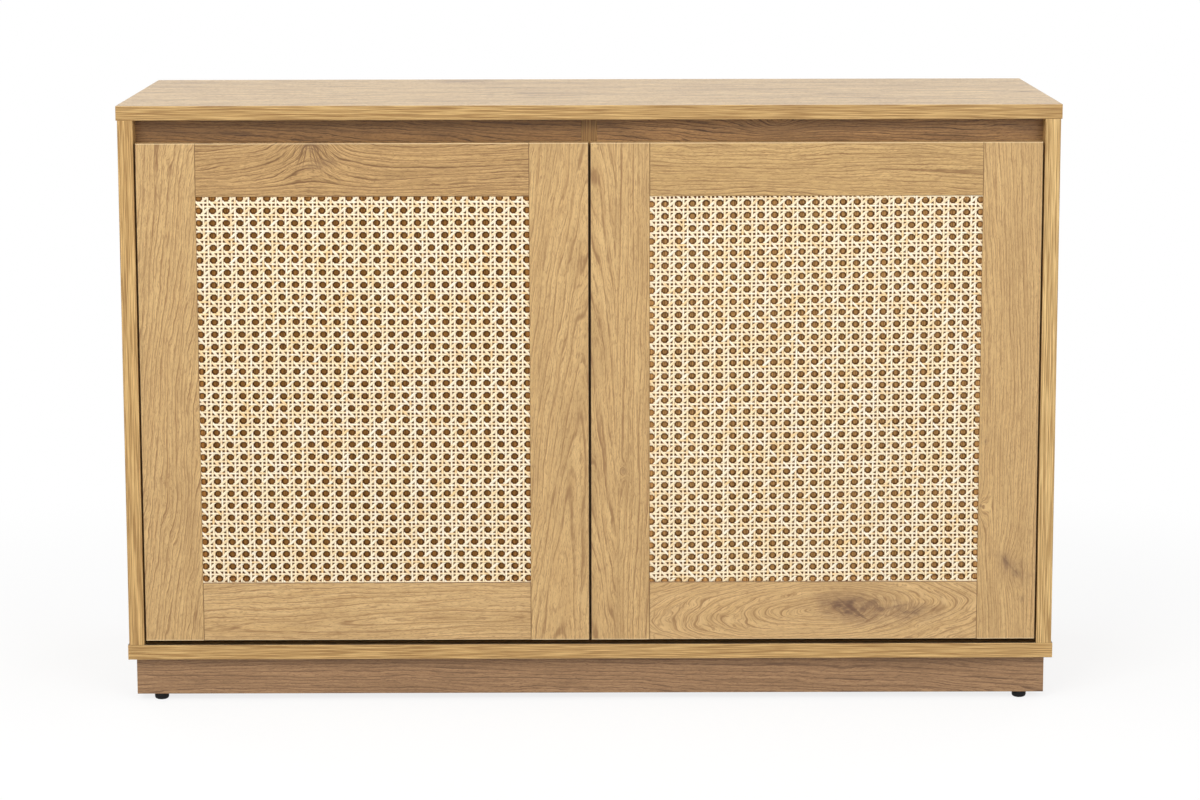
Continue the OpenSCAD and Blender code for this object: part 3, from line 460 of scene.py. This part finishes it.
dress(oak("oak_right_hinge_stile", "ZXY", heart=(0.3, 0.42), pith=0.22, rings=260, seed=17.7, wander=5 * MM,
          pushes=((0.160, 0.502, 0.045, 0.018, 3.0), (0.236, 0.464, 0.02, 0.010, 3.0)),
          knots=((0.162, 0.502, 0.034, 0.016, -0.75, 0.50), (0.172, 0.494, 0.016, 0.008, -0.75, 0.35),
                 (0.2376, 0.4632, 0.0026, 0.0018, 0.0, 1.0), (0.316, 0.468, 0.006, 0.004, 0.0, 0.4),
                 (0.125, 0.514, 0.007, 0.004, 0.0, 0.45)),
          cracks=((0.178, 0.488, 0.150, 0.512, 0.002, 0.25),),
          borders=rim("right_door_hinge_stile", "z+ z-", "", "x+")),
      "right_door_hinge_stile")


def plain(name, colour, roughness, metallic=0.0, mottle=0.12, size=4 * MM, **fixed):
    """Plastic, metal, felt and white board: one colour, slightly uneven, with a fine tooth."""
    material, start = new_finish(name)
    u, v, w = object_place(start)
    wide = cloud(u, v, w, (size * 6,) * 3, 3.0)
    fine = cloud(u, v, w, (size * 0.15,) * 3, seed=4.0)
    shade = tuple(c * (1 - mottle * 2) for c in colour[:3]) + (1.0,)
    lay_on(start, mix(rise(wide, 0.3, 0.7), colour, shade), fine * 0.15 + (roughness - 0.07),
           (fine, 0.05 * MM, 0.3), Metallic=metallic, **fixed)
    return material


# Dowels, blocks, fittings and the back
dress(oak("bare_beech", "XYZ", heart=(0.0, 0.8), rings=260, lines=0.25, light=(216, 180, 134),
          middle=(204, 166, 120), dark=(170, 128, 86), sheen=0.6),
      "plinth_corner_blocks", "wooden_dowels", "left_door_dowels", "right_door_dowels")
dress(plain("black_glides", paint(10, 10, 11), 0.6, Specular_IOR_Level=0.2), "glide_feet")
dress(plain("zinc_plate", paint(190, 190, 186), 0.34, 1.0),
      "plinth_block_screws", "cam_locks", "hinge_plate_screws", "hinge_arm_screws", "catch_screws",
      "left_cup_screws", "right_cup_screws", "left_catch_plate_screw", "right_catch_plate_screw", "shelf_pins")
dress(plain("nickel_plate", paint(205, 203, 198), 0.24, 1.0),
      "cam_bolts", "back_panel_nails", "hinge_mounting_plates", "hinge_arms", "left_hinge_cups",
      "right_hinge_cups", "left_hinge_pins", "right_hinge_pins", "left_catch_plate", "right_catch_plate")
dress(plain("white_catch", paint(226, 226, 222), 0.4, mottle=0.02), "magnetic_catches", "back_joining_strip")
dress(plain("white_board", paint(222, 219, 211), 0.6, mottle=0.03, size=2 * MM),
      "left_back_panel", "right_back_panel")
dress(plain("felt_pad", paint(205, 200, 188), 0.95, size=1 * MM), "door_bumpers")


# Cane webbing. A hole of the weave has whole numbers a (across) and b (down); pairs of strands
# stand and lie halfway between the holes, and single strands cross them slantwise.
CANE_BOTTOM, CANE_TOP = 146 * MM, 607.5 * MM
WEAVE_Y = -198.35 * MM
PAIR_UPRIGHT, PAIR_LEVEL = 4.9 * MM, 4.6 * MM
PAIR_LIFT, SHEET_LIFT = 0.24 * MM, 0.45 * MM
SMALL_GAP, GAP_BESIDE, GAP_BELOW = 1.7 * MM, 4.7 * MM, 4.5 * MM
STRAND_THICKNESS = 0.9 * MM
FLAT_CROWN, ROUND_CROWN = 0.36 * MM, 0.14 * MM
FRAME_PLAY = 0.2 * MM
WAVE, JITTER, TWIST, UNEVEN_WIDTH = (0.5 * MM, 1.0 * MM), 0.18 * MM, 0.18 * MM, 0.10
SHOULDER_SHIFT = 1.66  # moves the inner columns of a strand's grid out to its shoulders
UPRIGHT_STEP, LEVEL_STEP = 0.32, 0.31  # how far a pair is bent on either side of a crossing, in pitches

# Families of strands: name, width, and how far from a hole's middle their edges get painted shade
FAMILIES = (("upright_pairs", 3.55 * MM, 4.75 * MM), ("level_pairs", 3.3 * MM, 4.75 * MM),
            ("falling_strands", 3.0 * MM, 3.9 * MM), ("climbing_strands", 3.0 * MM, 3.9 * MM))
COLUMNS, ROWS, SLANTING_STEPS = range(-1, 26), range(-2, 34), 6

# In the strands' own coordinates each strand has a lane, wider than the strand itself
LANE, HALF_STRAND = 310 * MM, 1.7 * MM


class Weave:
    """Where the weave lies in one door: its first hole, its pitches, how its rows climb, and where the
    backing behind it begins."""

    def __init__(self, door, left, right, first_a, first_b, pitch_a, pitch_b, climb, seed):
        self.door, self.left, self.right = door, left, right
        self.first_a, self.first_b = left + first_a, CANE_TOP - first_b
        self.pitch_a, self.pitch_b, self.climb, self.seed = pitch_a, pitch_b, climb, seed
        self.backing_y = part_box(door + "_backing_panel")[0][1]

    def place(self, a, b):
        """Where hole or crossing a, b lies on the door, with the weave's slight waves."""
        x = self.first_a + a * self.pitch_a
        z = self.first_b - b * self.pitch_b + (x - self.left) * self.climb
        wave = noise.noise_vector(Vector((x * 9, z * 14, self.seed)))
        small = noise.noise_vector(Vector((x * 60, z * 60, self.seed + 3)))
        return Vector((x + wave.x * WAVE[0] + small.x * JITTER, z + wave.y * WAVE[1] + small.y * JITTER))

    def far_from_hole(self, x, z):
        """For a material: how far a place is from the middle of the nearest hole."""
        a = (x - self.first_a) / self.pitch_a + 0.5
        b = ((x - self.left) * self.climb + self.first_b - z) / self.pitch_b + 0.5
        over = (maths("FLOORED_MODULO", a, 1.0) - 0.5) * self.pitch_a
        down = (maths("FLOORED_MODULO", b, 1.0) - 0.5) * self.pitch_b
        return (over * over + down * down) ** 0.5

    def open_beside(self, a, b, reach):
        """Two marks: 1 beside a hole or a small gap between strands, and 1 beside a small gap alone."""
        hole = math.hypot((a - round(a)) * self.pitch_a, (b - round(b)) * self.pitch_b)
        x, z = abs(a - math.floor(a) - 0.5) * self.pitch_a, abs(b - math.floor(b) - 0.5) * self.pitch_b
        small = min(math.hypot(x, z), math.hypot(x, z - GAP_BELOW), math.hypot(x - GAP_BESIDE, z)) < SMALL_GAP
        return Vector((1.0 if hole < reach or small else 0.0, 1.0 if small else 0.0))


LEFT_WEAVE = Weave("left_door", -460.5 * MM, -70.5 * MM, 3.4 * MM, 1.65 * MM, 15.99 * MM, 14.67 * MM, 0.0, 11.0)
RIGHT_WEAVE = Weave("right_door", 70.5 * MM, 460.5 * MM, 1.9 * MM, 10.2 * MM, 16.05 * MM, 14.54 * MM, 0.014, 23.0)
dress(oak("oak_left_backing", "ZXY", heart=(0.3, 0.9), seed=18.6, light=(178, 125, 66), middle=(156, 105, 50),
          dark=(112, 76, 38), gloss=0.1, web=LEFT_WEAVE),
      "left_door_backing_panel", "left_cane_spacer")
dress(oak("oak_right_backing", "ZXY", heart=(0.3, 0.9), seed=19.6, light=(216, 164, 102), middle=(194, 142, 82),
          dark=(132, 95, 55), gloss=0.1, web=RIGHT_WEAVE),
      "right_door_backing_panel", "right_cane_spacer")


def cane_finish():
    """Split cane: a smooth pale bark with long fibres and browner edges, each strand a little different, and
    painted shade on its edges beside holes and small gaps.
    """
    material, start = new_finish("split_cane")
    u, v, w = parts(start.node("ShaderNodeUVMap", {"uv_map": "strand"}))
    strand = cloud(u, v, w, (130 * MM, 500 * MM, 1.0), 1.0)
    patch = cloud(u, v, w, (130 * MM, 20 * MM, 1.0), seed=3.0)
    fibre = cloud(u, v, w, (0.6 * MM, 30 * MM, 1.0), seed=5.0)
    side = maths("ABSOLUTE", (maths("FRACT", u / LANE + 0.5) - 0.5) * (LANE / HALF_STRAND))
    gap, small, _ = parts(start.node("ShaderNodeUVMap", {"uv_map": "gaps"}))
    painted_hole_shade = rise(gap, 0.15, 0.60)
    colour = mix(rise(strand, 0.3, 0.7), paint(255, 247, 226), paint(252, 234, 194))
    colour = mix(rise(patch, 0.48, 0.68) * 0.62, colour, paint(243, 203, 132))
    colour = mix(rise(fibre, 0.50, 0.70) * 0.30, colour, paint(224, 183, 122))
    # Browner edges of the bark, partly painted shade where strands meet
    colour = mix(rise(side, 0.60, 0.92) * 0.45, colour, paint(228, 172, 94))
    # Painted shade beside holes and small gaps: an orange band, then a dark rim
    colour = mix(rise(side, 0.42, 0.62) * painted_hole_shade * 0.55, colour, paint(226, 158, 68))
    colour = mix(rise(side + small * 0.08, 0.58, 0.82) * painted_hole_shade * 0.95, colour, paint(94, 46, 8))
    lay_on(start, colour, fibre * 0.2 + 0.28, (fibre, 0.05 * MM, 0.4), Specular_IOR_Level=0.3)
    return material


def cane_edge_finish():
    """The cut edges of the cane, browner than its bark and darkened further as painted shade round the holes."""
    material, start = new_finish("cut_cane")
    u, v, w = object_place(start)
    fibre = cloud(u, v, w, (2 * MM,) * 3, seed=5.0)
    lay_on(start, mix(rise(fibre, 0.35, 0.65), paint(104, 62, 24), paint(76, 42, 14)), fibre * 0.1 + 0.6,
           Specular_IOR_Level=0.1)
    return material


CANE, CANE_EDGE = cane_finish(), cane_edge_finish()


def lay_strand(bm, weave, number, steps, width, seed, reach):
    """Adds one strand. Gives the own coordinates of its corners and their marks beside gaps."""
    points = [(weave.place(a, b), lift, a, b) for a, b, lift in steps]
    count = len(points) - 1
    thick = 1 + UNEVEN_WIDTH * noise.noise(Vector((number * 7.3, seed, 0.5)))
    turned = TWIST * noise.noise(Vector((number * 3.1, seed, 4.5)))
    run = [0.0]
    for i in range(count):
        run.append(run[-1] + (points[i + 1][0] - points[i][0]).length)
    along_across, beside_gap = {}, {}
    for vert in bmesh.ops.create_grid(bm, x_segments=4, y_segments=count, size=1.0)["verts"]:
        side = vert.co.x * (SHOULDER_SHIFT if abs(vert.co.x) < 0.75 else 1.0)
        i = round((vert.co.y + 1) / 2 * count)
        here, lift, a, b = points[i]
        ahead = (points[min(i + 1, count)][0] - points[max(i - 1, 0)][0]).normalized()
        beside = Vector((ahead.y, -ahead.x))
        flat = here + beside * (side * width / 2 * thick)
        crown = (0.0 if abs(side) == 1 else FLAT_CROWN + ROUND_CROWN * (1 - side * side)) + turned * side
        vert.co = (flat.x, WEAVE_Y - lift - crown, flat.y)
        along_across[vert] = (number * LANE + side * width / 2, run[i])
        edges = [weave.open_beside(a + beside.x * edge * width / 2 / weave.pitch_a,
                                   b - beside.y * edge * width / 2 / weave.pitch_b, reach) for edge in (-1, 1)]
        if abs(side) < 0.5:
            beside_gap[vert] = (edges[0] * (1 - side) + edges[1] * (1 + side)) / 2
        else:
            beside_gap[vert] = edges[side > 0]
    return along_across, beside_gap


def strands(weave, name, courses, width, seed, reach):
    """Lays one family of strands. Each course gives its steps: a, b and the lift over the middle of the web.
    Edges within reach of a hole's middle are marked for painted shade."""
    bm = bmesh.new()
    uv, gaps = bm.loops.layers.uv.new("strand"), bm.loops.layers.uv.new("gaps")
    along_across, beside_gap = {}, {}
    for number, steps in enumerate(courses):
        places, marks = lay_strand(bm, weave, number, steps, width, seed, reach)
        along_across.update(places)
        beside_gap.update(marks)
    for face in bm.faces:
        face.smooth = True
        for loop in face.loops:
            loop[uv].uv, loop[gaps].uv = along_across[loop.vert], beside_gap[loop.vert]
    for at, out in (((weave.left, 0, 0), (-1, 0, 0)), ((weave.right, 0, 0), (1, 0, 0)),
                    ((0, 0, CANE_BOTTOM), (0, 0, -1)), ((0, 0, CANE_TOP), (0, 0, 1))):
        whole = bm.verts[:] + bm.edges[:] + bm.faces[:]
        inset = Vector(at) - Vector(out) * FRAME_PLAY
        bmesh.ops.bisect_plane(bm, geom=whole, plane_co=inset, plane_no=out, clear_outer=True)
    for face in bm.faces:
        face.normal_update()
    if sum(face.normal.y for face in bm.faces) > 0:
        bmesh.ops.reverse_faces(bm, faces=bm.faces[:])
    piece = place_mesh(bm, name)
    wall = piece.modifiers.new("strand thickness", "SOLIDIFY")
    wall.thickness, wall.offset = STRAND_THICKNESS, -1.0
    wall.material_offset, wall.material_offset_rim = 1, 1
    piece.data.materials.append(CANE)
    piece.data.materials.append(CANE_EDGE)
    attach(piece, weave.door)
    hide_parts(weave.door.replace("_door", "_cane_webbing"))


def place_mesh(bm, name):
    """Puts a finished mesh into the scene."""
    mesh = bpy.data.meshes.new(name)
    bm.to_mesh(mesh)
    bm.free()
    piece = bpy.data.objects.new(name, mesh)
    bpy.context.scene.collection.objects.link(piece)
    return piece


def over_under(away, half, sign):
    """Lift of a paired strand near the pair that it crosses: down on one side of its middle, up on the other."""
    return sign * PAIR_LIFT * math.sin(math.pi * away / (2 * half)) if abs(away) < 2 * half else 0.0


def weave_cane(weave):
    """Lays the four families of strands that fill one door."""
    half_a, half_b = PAIR_UPRIGHT / 2 / weave.pitch_a, PAIR_LEVEL / 2 / weave.pitch_b
    standing, lying, falling, climbing = [], [], [], []
    for i in COLUMNS:
        for sign in (-1, 1):
            standing.append([(i + 0.5 + sign * half_a, j + 0.5 + step, over_under(step, half_b, -sign))
                             for j in ROWS for step in (-UPRIGHT_STEP, -half_b, 0.0, half_b, UPRIGHT_STEP)])
    for j in ROWS:
        for sign in (-1, 1):
            lying.append([(i + 0.5 + step, j + 0.5 + sign * half_b, over_under(step, half_a, sign))
                          for i in COLUMNS for step in (-LEVEL_STEP, -half_a, 0.0, half_a, LEVEL_STEP)])
    slanting = [n / SLANTING_STEPS for n in range(COLUMNS.start * SLANTING_STEPS, COLUMNS.stop * SLANTING_STEPS)]
    for k in range(ROWS.start, COLUMNS.stop + ROWS.stop):
        falling.append([(a, k + 0.5 - a, -SHEET_LIFT * math.cos(2 * math.pi * a))
                        for a in slanting if ROWS.start < k + 0.5 - a < ROWS.stop])
    for k in range(COLUMNS.start - ROWS.stop - 1, COLUMNS.stop + 1):
        climbing.append([(a, a - k - 0.5, SHEET_LIFT * math.cos(2 * math.pi * a))
                         for a in slanting if ROWS.start < a - k - 0.5 < ROWS.stop])
    side = weave.door.replace("_door", "")
    families = zip(FAMILIES, (standing, lying, falling, climbing))
    for number, ((family, width, reach), courses) in enumerate(families):
        courses = [steps for steps in courses if len(steps) > 1]
        strands(weave, side + "_cane_" + family, courses, width, weave.seed + 1 + number, reach)


weave_cane(LEFT_WEAVE)
weave_cane(RIGHT_WEAVE)


WHITE = (1.0, 1.0, 1.0, 1.0)
FLOOR_LIT, FLOOR_SEEN = (0.62, 0.62, 0.62, 1.0), (0.97, 0.97, 0.97, 1.0)
FLOOR_REACH, ROOM_LIGHT = 8.0, 0.30

# Name, place, aim, side in metres and watts of each lamp
LAMPS = (("key softbox", (-1.6, -3.2, 2.9), (0, 0, 0.35), 2.2, 92),
         ("fill softbox", (2.0, -3.4, 2.2), (0, 0, 0.35), 2.2, 56),
         ("overhead softbox", (0, -0.3, 3.4), (0, 0, 0), 2.6, 34),
         ("back left softbox", (2.6, 3.2, 2.3), (0, 0, 0.35), 2.0, 27),
         ("back right softbox", (-2.6, 3.2, 2.3), (0, 0, 0.35), 2.0, 27))


def seen_directly(start):
    """1 for rays from the camera or by way of gloss or glass, 0 for the light on the object."""
    rays = start.node("ShaderNodeLightPath").socket.node
    seen = (Wire(start.tree, rays.outputs["Is Camera Ray"]) + Wire(start.tree, rays.outputs["Is Glossy Ray"])
            + Wire(start.tree, rays.outputs["Is Transmission Ray"]))
    return maths("MINIMUM", seen, 1.0)


def pale_floor():
    """A matt floor that glows towards white, more so further out."""
    bm = bmesh.new()
    bmesh.ops.create_grid(bm, x_segments=4, y_segments=4, size=FLOOR_REACH)
    floor = place_mesh(bm, "floor")
    material, start = new_finish("pale_floor")
    x, y, _ = object_place(start)
    far = rise(x * x + y * y * 1.4, 0.4, 2.2)  # square metres
    seen = seen_directly(start)
    matt = start.node("ShaderNodeBsdfDiffuse", (), {"Color": mix(seen, FLOOR_LIT, FLOOR_SEEN)})
    glow = start.node("ShaderNodeEmission", (), {"Color": WHITE, "Strength": 1.0})
    both = start.node("ShaderNodeMixShader", (), {0: seen * (far * 0.18 + 0.82), 1: matt, 2: glow})
    end(start, "ShaderNodeOutputMaterial", both)
    floor.data.materials.append(material)


def white_room():
    """Surroundings that look white and light the object softly."""
    world = bpy.data.worlds.new("white room")
    bpy.context.scene.world = world
    world.use_nodes = True
    world.node_tree.nodes.clear()
    start = Wire(world.node_tree)
    dim = start.node("ShaderNodeBackground", (), {"Color": WHITE, "Strength": ROOM_LIGHT})
    white = start.node("ShaderNodeBackground", (), {"Color": WHITE, "Strength": 1.0})
    both = start.node("ShaderNodeMixShader", (), {0: seen_directly(start), 1: dim, 2: white})
    end(start, "ShaderNodeOutputWorld", both)


def lamps():
    """Soft lamps round the object."""
    for name, place, aim, size, power in LAMPS:
        lamp = bpy.data.lights.new(name, "AREA")
        lamp.shape, lamp.size, lamp.energy = "SQUARE", size, power
        holder = bpy.data.objects.new(name, lamp)
        holder.location = place
        holder.rotation_euler = (Vector(aim) - Vector(place)).to_track_quat("-Z", "Y").to_euler()
        bpy.context.scene.collection.objects.link(holder)


def camera():
    """The photograph's place: in front, about 330 mm over the top board."""
    data = bpy.data.cameras.new("camera")
    holder = bpy.data.objects.new("camera", data)
    bpy.context.scene.collection.objects.link(holder)
    picture_width, focal_length = 1200, 3341.6  # pixels
    sensor_width = 36.0
    data.sensor_width, data.lens, data.shift_y = sensor_width, sensor_width * focal_length / picture_width, -0.05
    place, (turn, tip, roll) = (0.0003, -4.085, 1.0394), (-0.174, 90 - 8.807, -0.103)
    holder.matrix_world = (Matrix.Translation(place)
                           @ Matrix.Rotation(math.radians(turn), 4, "Z")
                           @ Matrix.Rotation(math.radians(tip), 4, "X")
                           @ Matrix.Rotation(math.radians(roll), 4, "Z"))
    bpy.context.scene.camera = holder


pale_floor()
white_room()
lamps()
bpy.context.scene.view_settings.view_transform = "Standard"
camera()
